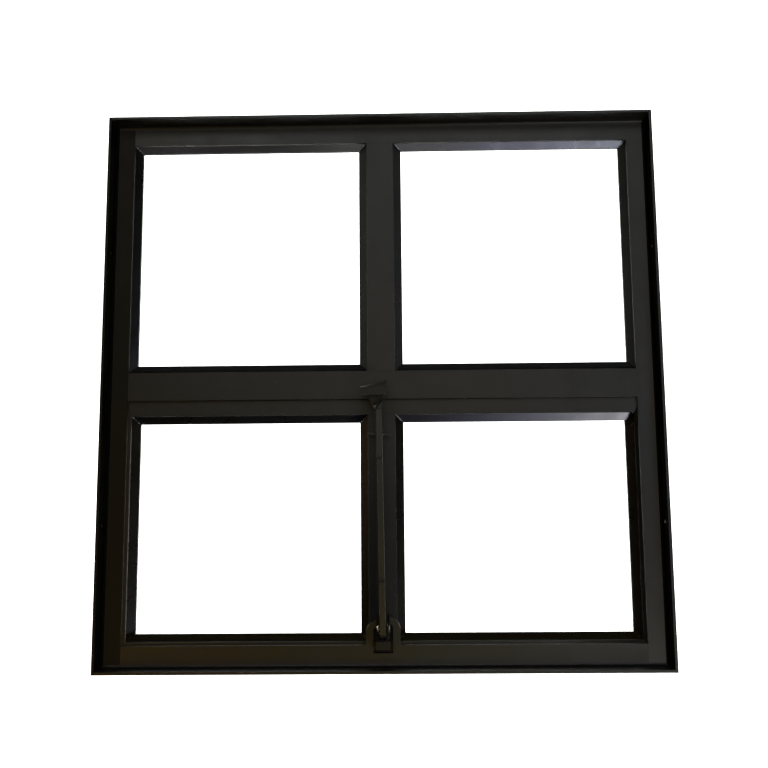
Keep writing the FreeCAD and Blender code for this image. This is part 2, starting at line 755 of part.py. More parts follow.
def make_grip():
    """The grip: a twisted neck and a plate that flares and curls over to the front."""
    body = new_body("stay_grip")
    back = "-pivot_setback - neck_set + grip_wall / 2"
    front = f"{back} - grip_depth"
    foot = f"{STAY_TOP} + neck_height"
    curl_top = f"{STAY_TOP} + grip_height"
    curl_middle = f"{curl_top} - grip_slope * grip_right"
    front_low = f"{curl_top} - grip_front"
    curl = new_sketch(body, "YZ_Plane")
    draw_loop(curl, (
        (front, foot),
        (f"{front} + grip_wall", foot),
        (f"{front} + grip_wall", f"{curl_middle} - grip_wall", "0.49 * grip_depth - grip_wall"),
        (f"{back} - grip_wall", f"{curl_middle} - grip_wall", "0.49 * grip_depth - grip_wall"),
        (f"{back} - grip_wall", foot),
        (back, foot),
        (back, curl_middle, "0.49 * grip_depth"),
        (front, curl_middle, "0.49 * grip_depth"),
    ))
    curled_plate = pad(body, curl, "3 * (grip_left + grip_right)", both_ways=True)
    curled_plate.UseCustomVector = True
    curled_plate.Direction = FreeCAD.Vector(1, 0, 0)
    bind(curled_plate, Direction__z="grip_slope")
    outline = new_sketch(body, "XZ_Plane")
    clear = "3 * (grip_left + grip_right)"
    draw_loop(outline, box_corners(
        f"-{clear}", clear, f"{STAY_TOP} - {clear}", f"{STAY_TOP} + {clear}"))
    draw_loop(outline, (
        ("grip_right - grip_taper", front_low, "grip_corner"),
        ("grip_right + grip_taper", f"{curl_top} + grip_front"),
        ("-grip_left - grip_taper", f"{curl_top} + grip_front"),
        ("grip_taper - grip_left", front_low, "grip_corner"),
    ))
    cut_both_ways(body, outline, "8 * (pivot_setback + grip_depth)")
    stem = box_corners(
        "-neck_shift - neck_width / 2",
        "-neck_shift + neck_width / 2",
        foot,
        f"{foot} + grip_front / 2",
    )
    plate(body, (stem,), f"{back} - grip_wall", back)
    add_neck(body)
    lean(body)


def build():
    """Makes every sub-part."""
    fill_sheet()
    make_frame()
    make_transom()
    make_fixed_lights()
    make_sash()
    make_hinge("hinge_left", "-1")
    make_hinge("hinge_right", "1")
    make_keeper()
    make_lug()
    make_pivot_pin()
    make_stay()
    make_peg()
    make_grip()
    doc.recompute()


def check_and_write():
    """Stops if anything failed to build, then writes each sub-part's solid."""
    for item in doc.Objects:
        if "Invalid" in item.State or "Error" in item.State:
            raise RuntimeError(f"{item.Label} failed to build: {item.State}")
    for piece in pieces:
        if piece.Shape.isNull() or not piece.Shape.isValid():
            raise RuntimeError(f"{piece.Label} has no valid shape")
    os.makedirs("parts", exist_ok=True)
    for piece in pieces:
        piece.Shape.exportStep(os.path.join("parts", piece.Label + ".step"))
        solids = len(piece.Shape.Solids)
        print(f"{piece.Label}: {solids} solid, {piece.Shape.Volume / 1000:.2f} cm3")


build()
check_and_write()
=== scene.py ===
"""Looks of the steel framed window: painted steel, clear glass, putty, studio light and camera."""

import math

import bpy
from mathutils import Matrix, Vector


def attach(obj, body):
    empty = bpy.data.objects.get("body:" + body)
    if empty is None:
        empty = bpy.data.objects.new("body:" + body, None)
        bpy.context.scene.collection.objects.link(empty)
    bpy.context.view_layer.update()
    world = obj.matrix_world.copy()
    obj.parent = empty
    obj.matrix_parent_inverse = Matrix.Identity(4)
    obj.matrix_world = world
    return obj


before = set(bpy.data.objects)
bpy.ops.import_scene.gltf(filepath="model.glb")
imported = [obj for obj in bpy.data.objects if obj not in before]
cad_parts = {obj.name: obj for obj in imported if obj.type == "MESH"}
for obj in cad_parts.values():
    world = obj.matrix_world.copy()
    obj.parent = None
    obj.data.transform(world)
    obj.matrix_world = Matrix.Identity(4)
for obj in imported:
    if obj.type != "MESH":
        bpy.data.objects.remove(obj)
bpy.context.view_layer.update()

MM = 0.001

CAMERA_PLACE = (0.01624, -0.90169, 0.19107)
CAMERA_TURN = (96.943, 0.457, 0.900)
CAMERA_LENS = 39.098
CAMERA_SENSOR = 36.0
CAMERA_CLIP = 0.01

WINDOW_MIDDLE = (0.0, 0.0, 0.3)

# How the solids' edges are rounded.
MERGE_DISTANCE = 0.002 * MM
FLAT_ANGLE = math.radians(0.3)
EDGE_ANGLE = math.radians(22)
ROUNDING = 1.0 * MM
ROUNDING_SEGMENTS = 2

# The paint: its colours, and the scales of its patterns in cells to the metre.
BLACK = ((0.0085, 0.0078, 0.0065), (0.0115, 0.0108, 0.0095))
# Painted shade: the near-black tones that the lips' inner faces get.
LIP_SHADE_TONES = ((0.003, 0.0028, 0.0024), (0.004, 0.0038, 0.0034))
LIP_SHADE = (0.0025, 0.0023, 0.0020)
# Painted shade: the dark brown laid where shade falls, on ledges, the lug's top and the sash's right end.
PAINTED_SHADE = (0.0035, 0.0026, 0.0016)
WORN = (0.075, 0.070, 0.060)
TONE_SCALE = 9.0
SHEEN_SCALE = 40.0
WEAR_SCALE = 140.0
WAVE_SCALE = 160.0
GRAIN_SCALE = 900.0
SPECK_SCALE = 70.0
SPECK_EDGE = (0.025, 0.05)
SPECK_CHOICE = (0.86, 0.88)
WEAR_REACH = 0.9 * MM
WEAR_SAMPLES = 6
WEAR_TURN = (0.90, 0.985)

# Where painted shade lies: depths in metres, and how far a face has to look up.
LIP_DEPTHS = (-2.5 * MM, -0.5 * MM)
LIP_TURN = (-0.12, -0.06)
LEDGE_DEPTHS = (3.5 * MM, 4.5 * MM)
LEDGE_RISE = (0.1, 0.25)
SHADE_FADE = 1.5 * MM

# Each light's pane edges in millimetres (inner and outer side, bottom, top) and the front of its stop.
LIGHTS = {
    "upper_left": (-23.8, -270.0, 324.3, 569.5, 6.0),
    "upper_right": (23.8, 270.0, 324.3, 569.5, 6.0),
    "sash_left": (-23.8, -267.0, 34.4, 260.0, 12.5),
    "sash_right": (23.8, 267.0, 34.4, 260.0, 12.5),
}


def feed(tree, entry, value):
    """Gives an input another node's output, or a plain value."""
    if isinstance(value, bpy.types.NodeSocket):
        tree.links.new(value, entry)
    else:
        entry.default_value = value


def node(tree, kind, **inputs):
    """A node with plain values on its named inputs."""
    made = tree.nodes.new(kind)
    for name, value in inputs.items():
        made.inputs[name.replace("_", " ")].default_value = value
    return made


def vector_maths(tree, operation, first, second=None):
    """A vector node that works on a socket and, if given, on a second socket or plain vector."""
    made = tree.nodes.new("ShaderNodeVectorMath")
    made.operation = operation
    tree.links.new(first, made.inputs[0])
    if second is not None:
        feed(tree, made.inputs[1], second)
    return made.outputs["Value" if operation == "DOT_PRODUCT" else "Vector"]


def noise(tree, where, scale, detail=3.0, roughness=0.5):
    """A noise texture over the object's own coordinates."""
    made = node(tree, "ShaderNodeTexNoise", Scale=scale, Detail=detail, Roughness=roughness)
    tree.links.new(where, made.inputs["Vector"])
    return made.outputs["Fac"]


def ramp(tree, factor, stops):
    """A colour ramp through the given (place, colour) stops."""
    made = tree.nodes.new("ShaderNodeValToRGB")
    elements = made.color_ramp.elements
    while len(elements) < len(stops):
        elements.new(0.5)
    for element, (place, colour) in zip(elements, stops):
        element.position = place
        element.color = (*colour, 1.0)
    tree.links.new(factor, made.inputs["Fac"])
    return made.outputs["Color"]


def spread(tree, factor, low, high, new_low, new_high):
    """The factor mapped from one range onto another and held inside it."""
    made = node(tree, "ShaderNodeMapRange", From_Min=low, From_Max=high, To_Min=new_low, To_Max=new_high)
    tree.links.new(factor, made.inputs["Value"])
    return made.outputs["Result"]


def mixed(tree, factor, first, second):
    """Two colours mixed by a factor; each is a socket or a plain colour."""
    made = tree.nodes.new("ShaderNodeMix")
    made.data_type = "RGBA"
    tree.links.new(factor, made.inputs["Factor"])
    for index, value in ((6, first), (7, second)):
        plain = isinstance(value, tuple)
        feed(tree, made.inputs[index], (*value, 1.0) if plain else value)
    return made.outputs[2]


def mixed_value(tree, factor, first, second):
    """A number's socket mixed with a plain number by a factor."""
    made = tree.nodes.new("ShaderNodeMix")
    tree.links.new(factor, made.inputs["Factor"])
    tree.links.new(first, made.inputs[2])
    made.inputs[3].default_value = second
    return made.outputs[0]


def times(tree, first, second):
    """The product of two factors."""
    made = tree.nodes.new("ShaderNodeMath")
    made.operation = "MULTIPLY"
    tree.links.new(first, made.inputs[0])
    tree.links.new(second, made.inputs[1])
    return made.outputs[0]


def bump(tree, height, strength, distance, under=None):
    """A bump from a height, on top of an earlier one if given."""
    made = node(tree, "ShaderNodeBump", Strength=strength, Distance=distance)
    tree.links.new(height, made.inputs["Height"])
    if under is not None:
        tree.links.new(under, made.inputs["Normal"])
    return made.outputs["Normal"]


def new_material(name):
    """An empty node material: its tree, its shader and its object coordinates."""
    material = bpy.data.materials.new(name)
    material.use_nodes = True
    tree = material.node_tree
    shader = tree.nodes["Principled BSDF"]
    where = tree.nodes.new("ShaderNodeTexCoord").outputs["Object"]
    return material, tree, shader, where


def along(tree, vector, axis, low, high):
    """0 to 1 as one axis of a place or a normal goes from low to high."""
    made = tree.nodes.new("ShaderNodeSeparateXYZ")
    tree.links.new(vector, made.inputs[0])
    return spread(tree, made.outputs[axis], low, high, 0.0, 1.0)


def face_normal(tree, name):
    """The normal of the face, True Normal, or the shaded one, Normal."""
    return tree.nodes.new("ShaderNodeNewGeometry").outputs[name]


def looking_out(tree, where, normal):
    """How much a face looks away from the middle line of the window: below 0 on faces that look at it."""
    away = vector_maths(tree, "SUBTRACT", where, WINDOW_MIDDLE)
    flat = vector_maths(tree, "MULTIPLY", away, (1.0, 0.0, 1.0))
    return vector_maths(tree, "DOT_PRODUCT", flat, normal)


def specks(tree, where):
    """1 on a few small specks of dust and old paint, 0 elsewhere."""
    cells = node(tree, "ShaderNodeTexVoronoi", Scale=SPECK_SCALE, Randomness=1.0)
    tree.links.new(where, cells.inputs["Vector"])
    spot = spread(tree, cells.outputs["Distance"], *SPECK_EDGE, 1.0, 0.0)
    chosen = tree.nodes.new("ShaderNodeSeparateColor")
    tree.links.new(cells.outputs["Color"], chosen.inputs[0])
    return times(tree, spot, spread(tree, chosen.outputs[0], *SPECK_CHOICE, 0.0, 1.0))


def near_edge(tree):
    """1 beside sharp edges, 0 away from them."""
    rounded = node(tree, "ShaderNodeBevel", Radius=WEAR_REACH)
    rounded.samples = WEAR_SAMPLES
    turn = vector_maths(tree, "DOT_PRODUCT", rounded.outputs[0], face_normal(tree, "Normal"))
    return spread(tree, turn, *WEAR_TURN, 1.0, 0.0)


def under_painted_shade(tree, factor, tone, sheen, roughness):
    """The tone and the sheen of paint under painted shade: darker, and rougher."""
    return mixed(tree, factor, tone, PAINTED_SHADE), mixed_value(tree, factor, sheen, roughness)


def paint(name, tones, roughness, gloss, wear=0.0, shade_above=None, shade_to_right=None):
    """Satin black paint on steel: slow changes of tone and sheen over a fine sprayed grain.

    Painted shade darkens the lips' inner faces and the ledges that look up. Wear shows beside sharp edges.
    Painted shade also covers what is above a height, and grows to the right from one place to another.
    """
    material, tree, shader, where = new_material(name)
    dark, light = tones
    tone = ramp(tree, noise(tree, where, TONE_SCALE, 4.0), ((0.3, dark), (0.7, light)))
    tone = mixed(tree, specks(tree, where), tone, WORN)
    sheen = spread(tree, noise(tree, where, SHEEN_SCALE, 5.0, 0.6), 0.3, 0.7, *roughness)
    if wear > 0.0:
        patchy = spread(tree, noise(tree, where, WEAR_SCALE, 4.0, 0.65), 0.42, 0.62, 0.0, wear)
        tone = mixed(tree, times(tree, near_edge(tree), patchy), tone, WORN)
    # Painted shade: the lips' inner faces that look at the middle of the window turn near-black.
    in_lip = along(tree, where, "Y", *reversed(LIP_DEPTHS))
    turned = looking_out(tree, where, face_normal(tree, "True Normal"))
    inward = spread(tree, turned, *LIP_TURN, 1.0, 0.0)
    tone = mixed(tree, times(tree, in_lip, inward), tone, LIP_SHADE)
    # Painted shade: faces that look up, behind the front face, such as the bottom stops, turn dark and
    # rough.
    behind_face = along(tree, where, "Y", *LEDGE_DEPTHS)
    shaded_ledge = times(tree, behind_face, along(tree, face_normal(tree, "True Normal"), "Z", *LEDGE_RISE))
    tone, sheen = under_painted_shade(tree, shaded_ledge, tone, sheen, 0.95)
    # Painted shade over everything above a height.
    if shade_above is not None:
        tone, sheen = under_painted_shade(tree, along(tree, where, "Z", shade_above, shade_above + SHADE_FADE), tone, sheen, 0.9)
    # Painted shade growing to the right between two places.
    if shade_to_right is not None:
        tone, sheen = under_painted_shade(tree, along(tree, where, "X", *shade_to_right), tone, sheen, 0.95)
    tree.links.new(tone, shader.inputs["Base Color"])
    tree.links.new(sheen, shader.inputs["Roughness"])
    waves = bump(tree, noise(tree, where, WAVE_SCALE, 2.0), 0.25, 0.2 * MM)
    grain = bump(tree, noise(tree, where, GRAIN_SCALE, 2.0), 0.35, 0.05 * MM, waves)
    tree.links.new(grain, shader.inputs["Normal"])
    shader.inputs["Specular IOR Level"].default_value = gloss
    return material


def weld_paint():
    """Painted weld beads, with a painted glint in the upper corners of the panes."""
    material, tree, shader, where = new_material("black_paint_weld")
    patches = noise(tree, where, 300.0, 3.0)
    tone = ramp(tree, patches, ((0.3, (0.012, 0.0115, 0.010)), (0.7, (0.018, 0.017, 0.015))))
    # Painted glint: a pale, bright tone on the beads at the tops of the upper panes and the sash panes.
    painted_glint = ramp(tree, patches, ((0.35, (0.06, 0.06, 0.058)), (0.55, (0.42, 0.42, 0.41))))
    sash_top = times(tree, along(tree, where, "Z", 0.24, 0.25), along(tree, where, "Z", 0.29, 0.28))
    tone = mixed(tree, sash_top, tone, painted_glint)
    tone = mixed(tree, along(tree, where, "Z", 0.54, 0.55), tone, painted_glint)
    tree.links.new(tone, shader.inputs["Base Color"])
    tree.links.new(spread(tree, patches, 0.3, 0.7, 0.22, 0.36), shader.inputs["Roughness"])
    shader.inputs["Specular IOR Level"].default_value = 0.3
    return material


def bare_steel():
    """The rivet's worn steel: bright where it rubs, brown in its pits."""
    material, tree, shader, where = new_material("rivet_steel")
    pits = noise(tree, where, 420.0, 4.0, 0.6)
    tone = ramp(tree, pits, ((0.35, (0.05, 0.038, 0.025)), (0.60, (0.36, 0.34, 0.30))))
    tree.links.new(tone, shader.inputs["Base Color"])
    tree.links.new(spread(tree, pits, 0.35, 0.60, 0.75, 0.32), shader.inputs["Roughness"])
    tree.links.new(bump(tree, pits, 0.4, 0.15 * MM), shader.inputs["Normal"])
    shader.inputs["Metallic"].default_value = 1.0
    return material


def clear_glass():
    """Clear window glass that lets lamps through, with faint waves."""
    material, tree, shader, where = new_material("clear_glass")
    shader.inputs["Base Color"].default_value = (0.97, 0.99, 0.98, 1.0)
    shader.inputs["Roughness"].default_value = 0.0
    shader.inputs["IOR"].default_value = 1.5
    shader.inputs["Transmission Weight"].default_value = 1.0
    waves = noise(tree, where, 6.0, 2.0)
    tree.links.new(bump(tree, waves, 0.03, 1.0 * MM), shader.inputs["Normal"])
    lamp_rays = tree.nodes.new("ShaderNodeLightPath").outputs["Is Shadow Ray"]
    open_way = node(tree, "ShaderNodeBsdfTransparent", Color=(0.95, 0.97, 0.96, 1.0))
    choice = tree.nodes.new("ShaderNodeMixShader")
    tree.links.new(lamp_rays, choice.inputs[0])
    tree.links.new(shader.outputs[0], choice.inputs[1])
    tree.links.new(open_way.outputs[0], choice.inputs[2])
    tree.links.new(choice.outputs[0], tree.nodes["Material Output"].inputs["Surface"])
    return material


def putty():
    """Painted putty: matt, with thumbed waves and a fine grain."""
    material, tree, shader, where = new_material("glazing_putty")
    slow = noise(tree, where, 25.0, 4.0)
    tone = ramp(tree, slow, ((0.3, (0.016, 0.015, 0.013)), (0.7, (0.028, 0.026, 0.023))))
    tree.links.new(tone, shader.inputs["Base Color"])
    sheen = noise(tree, where, 60.0, 3.0)
    tree.links.new(spread(tree, sheen, 0.3, 0.7, 0.5, 0.75), shader.inputs["Roughness"])
    waves = bump(tree, noise(tree, where, 70.0, 3.0), 0.5, 0.6 * MM)
    grain = bump(tree, noise(tree, where, 700.0, 2.0), 0.3, 0.1 * MM, waves)
    tree.links.new(grain, shader.inputs["Normal"])
    return material


def new_group(name, *numbers):
    """An empty group of geometry nodes, with inputs for the named numbers: itself, its start and its end."""
    group = bpy.data.node_groups.new(name, "GeometryNodeTree")
    group.interface.new_socket("Geometry", in_out="INPUT", socket_type="NodeSocketGeometry")
    for number in numbers:
        group.interface.new_socket(number, in_out="INPUT", socket_type="NodeSocketFloat")
    group.interface.new_socket("Geometry", in_out="OUTPUT", socket_type="NodeSocketGeometry")
    return group, group.nodes.new("NodeGroupInput"), group.nodes.new("NodeGroupOutput")


def joined_group():
    """Geometry nodes that join the faces of a solid along its edges and shade them smooth."""
    group, start, end = new_group("joined")
    forget = node(group, "GeometryNodeRemoveAttribute", Name="custom_normal")
    join = node(group, "GeometryNodeMergeByDistance", Distance=MERGE_DISTANCE)
    smooth = group.nodes.new("GeometryNodeSetShadeSmooth")
    previous = start.outputs[0]
    for step in (forget, join, smooth):
        group.links.new(previous, step.inputs[0])
        previous = step.outputs[0]
    group.links.new(previous, end.inputs[0])
    return group


# Boxes in millimetres, low and high corners, around edges that keep another share of the rounding.
FLUSH = 0.04
EDGE_SHARES = [
    ((-16, -1, 574.5), (16, 4, 575.5), FLUSH),
    ((-16, -1, 315.0), (16, 4, 316.0), FLUSH),
    ((-16, 4, 27.5), (16, 8, 28.5), FLUSH),
    ((-16, 4, 267.5), (16, 8, 268.5), FLUSH),
    ((-19, -1, 11.0), (19, 4, 12.0), FLUSH),
    ((-278, -1, 284.0), (278, 1, 285.0), 0.8),
]
# Upright seams that are there on both sides: place across, bottom, top and front of each.
SEAMS = (
    (277, 284, 316, -1),
    (277, 574, 601, -1),
    (277, -1, 26, -1),
    (274, 13, 28.5, 4),
    (274, 267.5, 292, 4),
    (18.3, 11, 45, -1),
)
SEAM_HALF = 0.5
SEAM_DEPTH = 5
for side in (-1, 1):
    for across, low, high, front in SEAMS:
        edges = sorted((side * (across - SEAM_HALF), side * (across + SEAM_HALF)))
        EDGE_SHARES.append(((edges[0], front, low), (edges[1], front + SEAM_DEPTH, high), FLUSH))


def within(group, place, low, high):
    """Whether a place lies inside a box."""
    away = vector_maths(group, "SUBTRACT", place, [(a + b) / 2 * MM for a, b in zip(low, high)])
    inside = group.nodes.new("FunctionNodeCompare")
    inside.data_type = "VECTOR"
    inside.mode = "ELEMENT"
    inside.operation = "LESS_THAN"
    first, second = [socket for socket in inside.inputs if socket.type == "VECTOR" and socket.name in "AB"]
    group.links.new(vector_maths(group, "ABSOLUTE", away), first)
    second.default_value = [(b - a) / 2 * MM for a, b in zip(low, high)]
    return inside.outputs[0]


def switched(group, condition, if_false, if_true):
    """One of two numbers, by a condition; each is a socket or a plain number."""
    made = group.nodes.new("GeometryNodeSwitch")
    made.input_type = "FLOAT"
    group.links.new(condition, made.inputs["Switch"])
    feed(group, made.inputs["False"], if_false)
    feed(group, made.inputs["True"], if_true)
    return made.outputs[0]


def both(group, first, second):
    """Whether two conditions hold."""
    made = group.nodes.new("FunctionNodeBooleanMath")
    made.operation = "AND"
    group.links.new(first, made.inputs[0])
    group.links.new(second, made.inputs[1])
    return made.outputs[0]


def compared(group, operation, value, limit):
    """Whether a number is above or below a limit."""
    made = group.nodes.new("FunctionNodeCompare")
    made.data_type = "FLOAT"
    made.operation = operation
    group.links.new(value, made.inputs[0])
    made.inputs[1].default_value = limit
    return made.outputs[0]


def edge_group():
    """Geometry nodes that give each sharp edge its share of the rounding, and hollow edges hardly any."""
    group, start, end = new_group("edge_shares", "Share")
    ends = group.nodes.new("GeometryNodeInputMeshEdgeVertices")
    value = start.outputs["Share"]
    for low, high, other in EDGE_SHARES:
        inside = both(
            group,
            within(group, ends.outputs["Position 1"], low, high),
            within(group, ends.outputs["Position 2"], low, high),
        )
        value = switched(group, inside, value, other)
    angle = group.nodes.new("GeometryNodeInputMeshEdgeAngle")
    sharp = compared(group, "GREATER_THAN", angle.outputs["Unsigned Angle"], EDGE_ANGLE)
    hollow = compared(group, "LESS_THAN", angle.outputs["Signed Angle"], 0.0)
    value = switched(group, hollow, value, FLUSH)
    store = node(group, "GeometryNodeStoreNamedAttribute", Name="bevel_weight_edge")
    store.domain = "EDGE"
    store.data_type = "FLOAT"
    group.links.new(start.outputs["Geometry"], store.inputs["Geometry"])
    group.links.new(switched(group, sharp, 0.0, value), store.inputs["Value"])
    group.links.new(store.outputs[0], end.inputs[0])
    return group


def lip_group(material):
    """Geometry nodes that give the lips' inner faces a near-black paint of their own, as painted shade."""
    group, start, end = new_group("lip_faces")
    place = group.nodes.new("GeometryNodeInputPosition").outputs[0]
    normal = group.nodes.new("GeometryNodeInputNormal").outputs[0]
    depth = group.nodes.new("ShaderNodeSeparateXYZ")
    group.links.new(place, depth.inputs[0])
    chosen = both(
        group,
        compared(group, "LESS_THAN", depth.outputs["Y"], -0.1 * MM),
        compared(group, "LESS_THAN", looking_out(group, place, normal), -0.02),
    )
    coat = node(group, "GeometryNodeSetMaterial", Material=material)
    group.links.new(start.outputs[0], coat.inputs["Geometry"])
    group.links.new(chosen, coat.inputs["Selection"])
    group.links.new(coat.outputs[0], end.inputs[0])
    return group


JOINED = joined_group()
EDGE_GROUP = edge_group()
SHARE_SOCKET = EDGE_GROUP.interface.items_tree["Share"].identifier


def soften(piece, share, lips=None):
    """Rounds a solid's sharp edges by a share of the full rounding, with painted shade on its lips' inner
    faces if given.
    """
    join = piece.modifiers.new("joined", "NODES")
    join.node_group = JOINED
    flat = piece.modifiers.new("flat_faces", "DECIMATE")
    flat.decimate_type = "DISSOLVE"
    flat.angle_limit = FLAT_ANGLE
    choice = piece.modifiers.new("edge_shares", "NODES")
    choice.node_group = EDGE_GROUP
    choice[SHARE_SOCKET] = share
    if lips is not None:
        coat = piece.modifiers.new("lip_faces", "NODES")
        coat.node_group = lips
    edge = piece.modifiers.new("soft_edges", "BEVEL")
    edge.width = ROUNDING
    edge.segments = ROUNDING_SEGMENTS
    edge.limit_method = "WEIGHT"
    edge.harden_normals = True
    edge.use_clamp_overlap = True


# Paints: a dark and a light tone, the roughness range and the gloss.
FRAME_PAINT = paint("black_paint", BLACK, (0.40, 0.52), 0.5)
# The left jamb: a darker, browner and duller copy of the paint, as painted shade.
SHADED_JAMB_PAINT = paint(
    "painted_shade_left_jamb", ((0.0078, 0.0062, 0.0030), (0.0104, 0.0085, 0.0046)), (0.50, 0.62), 0.17
)
# The lug: painted shade above 31 mm, over the cheeks and tongue that sit in shade in the keeper's opening.
LUG_PAINT = paint(
    "black_paint_lug", ((0.007, 0.0064, 0.0052), (0.010, 0.0092, 0.008)), (0.45, 0.6), 0.3, shade_above=31.0 * MM
)
STOP_PAINT = paint("black_paint_stops", BLACK, (0.26, 0.34), 0.5)
# The sash's bottom rail: painted shade growing towards its right end, where the right jamb shades it.
SASH_PAINT = paint("black_paint_sash", BLACK, (0.40, 0.52), 0.4, shade_to_right=(0.17, 0.26))
# The sash's right stile: a darker, duller copy of the paint, as painted shade where the right jamb shades
# it.
SHADED_STILE_PAINT = paint(
    "painted_shade_stile", ((0.0030, 0.0030, 0.0026), (0.0044, 0.0044, 0.0038)), (0.7, 0.85), 0.05
)
WELD_PAINT = weld_paint()
GRIP_PAINT = paint(
    "stay_steel_grip", ((0.022, 0.021, 0.0185), (0.029, 0.028, 0.025)), (0.55, 0.68), 0.22, wear=1.0
)
STAY_PAINT = paint(
    "stay_steel", ((0.015, 0.0142, 0.012), (0.020, 0.019, 0.0165)), (0.34, 0.46), 0.5, wear=0.8
)

MATERIALS = {
    "black_paint": FRAME_PAINT,
    "stay_steel": STAY_PAINT,
    "clear_glass": clear_glass(),
    "glazing_putty": putty(),
}
NODE_MATERIALS = {
    "left_jamb": SHADED_JAMB_PAINT,
    "sash_right_stile": SHADED_STILE_PAINT,
    "sash_bottom_rail": SASH_PAINT,
    "stay_lug": LUG_PAINT,
    "stay_pivot_pin": bare_steel(),
    "stay_grip": GRIP_PAINT,
}
for light in LIGHTS:
    NODE_MATERIALS[light + "_glazing_frame"] = STOP_PAINT
FRAME_SHARE = 0.22
NODE_SHARES = {
    "stay_grip": 0.3,
    "stay_pivot_pin": 0.4,
    "stay_bar": 0.4,
    "stay_peg": 0.3,
    "stay_keeper": 0.08,
}
# Painted shade: near-black paints for the inner faces of the outer frame's lips.
JAMB_LIP_SHADE = lip_group(paint("painted_shade_jamb_lips", LIP_SHADE_TONES, (0.8, 0.95), 0.0))
RAIL_LIP_SHADE = lip_group(paint("painted_shade_rail_lips", LIP_SHADE_TONES, (0.4, 0.5), 0.42))
OUTER_FRAME = {
    "left_jamb": JAMB_LIP_SHADE,
    "right_jamb": JAMB_LIP_SHADE,
    "head": RAIL_LIP_SHADE,
    "bottom_rail": RAIL_LIP_SHADE,
}

for name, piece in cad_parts.items():
    slot = piece.material_slots[0]
    slot.material = NODE_MATERIALS.get(name, MATERIALS[slot.material.name.split(".")[0]])
    soften(piece, NODE_SHARES.get(name, FRAME_SHARE), OUTER_FRAME.get(name))


# The weld beads along the mitres of the glass stops, in millimetres.
SPLAY_WIDTH = 8.8
SPLAY_DEPTH = 4.4
BEAD_RADIUS = 0.95
BEAD_SINK = 0.35
BEAD_INSET = 0.5
BEAD_LIFT = 0.25
BEAD_SIDES = 8
BEAD_RINGS = 11
BEAD_TAPER = 0.04
BEAD_FULLNESS = 0.3
BEAD_RIPPLES = ((0.16, 19.0, 2.1), (0.10, 41.0, 3.7))
SEED_STEP = 1.3


def weld_bead(start, end, sink, seed):
    """Rings of a thin uneven bead between two points: its corners and its faces."""
    along_bead = (end - start).normalized()
    across = along_bead.orthogonal().normalized()
    other = along_bead.cross(across)
    corners, faces = [], []
    for ring in range(BEAD_RINGS):
        share = ring / (BEAD_RINGS - 1)
        swell = math.sin(math.pi * min(max(share, BEAD_TAPER), 1.0 - BEAD_TAPER)) ** BEAD_FULLNESS
        ripple = 1.0
        for height, waves, shift in BEAD_RIPPLES:
            ripple += height * math.sin(waves * share + shift * seed)
        radius = BEAD_RADIUS * swell * ripple
        middle = start.lerp(end, share) - sink * BEAD_SINK
        for side in range(BEAD_SIDES):
            angle = 2 * math.pi * side / BEAD_SIDES
            corners.append(middle + radius * (math.cos(angle) * across + math.sin(angle) * other))
    for ring in range(BEAD_RINGS - 1):
        here, beyond = ring * BEAD_SIDES, (ring + 1) * BEAD_SIDES
        for side in range(BEAD_SIDES):
            after = (side + 1) % BEAD_SIDES
            faces.append((here + side, here + after, beyond + after, beyond + side))
    faces.append(tuple(reversed(range(BEAD_SIDES))))
    faces.append(tuple((BEAD_RINGS - 1) * BEAD_SIDES + side for side in range(BEAD_SIDES)))
    return corners, faces


def add_corner_welds(light, inner, outer, low, high, front):
    """The welded corners of a light's glass stops: a bead along each mitre."""
    corners, faces = [], []
    outwards = 1 if outer > inner else -1
    seed = len(light) + inner
    for edge_x, way_x in ((inner, -outwards), (outer, outwards)):
        for edge_z, way_z in ((low, -1), (high, 1)):
            start = Vector((
                edge_x + BEAD_INSET * way_x, front + SPLAY_DEPTH - BEAD_LIFT, edge_z + BEAD_INSET * way_z
            ))
            end = Vector((edge_x + SPLAY_WIDTH * way_x, front, edge_z + SPLAY_WIDTH * way_z))
            sink = Vector((-way_x, -2.0, -way_z)).normalized()
            seed += SEED_STEP
            bead_corners, bead_faces = weld_bead(start, end, sink, seed)
            first = len(corners)
            corners += [corner * MM for corner in bead_corners]
            faces += [tuple(first + index for index in face) for face in bead_faces]
    mesh = bpy.data.meshes.new(light + "_corner_welds")
    mesh.from_pydata(corners, [], faces)
    mesh.shade_smooth()
    mesh.materials.append(WELD_PAINT)
    piece = bpy.data.objects.new(light + "_corner_welds", mesh)
    bpy.context.scene.collection.objects.link(piece)
    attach(piece, "window")
    return piece


STOP_PIECES = []
for light, edges in LIGHTS.items():
    STOP_PIECES.append(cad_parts[light + "_glazing_frame"])
    STOP_PIECES.append(add_corner_welds(light, *edges))


# The floor and the backdrop, in metres.
FLOOR_FRONT = -4.0
FLOOR_HALF = 5.0
FLOOR_DROP = 0.2 * MM
WALL_PLACE = 2.2
WALL_TOP = 4.0
BEND_RADIUS = 0.8
BEND_STEPS = 24
FLOOR_GLOW = 0.8
WORLD_COLOUR = (0.93, 0.93, 0.92)
WORLD_STRENGTH = 0.9


def pale_floor():
    """Matt pale paper with a faint grain and an even glow."""
    material, tree, shader, where = new_material("pale_floor")
    grain = noise(tree, where, 12.0, 3.0)
    tone = ramp(tree, grain, ((0.3, (0.83, 0.83, 0.82)), (0.7, (0.86, 0.86, 0.85))))
    tree.links.new(tone, shader.inputs["Base Color"])
    shader.inputs["Roughness"].default_value = 0.9
    shader.inputs["Specular IOR Level"].default_value = 0.1
    shader.inputs["Emission Color"].default_value = (1.0, 1.0, 0.99, 1.0)
    shader.inputs["Emission Strength"].default_value = FLOOR_GLOW
    return material


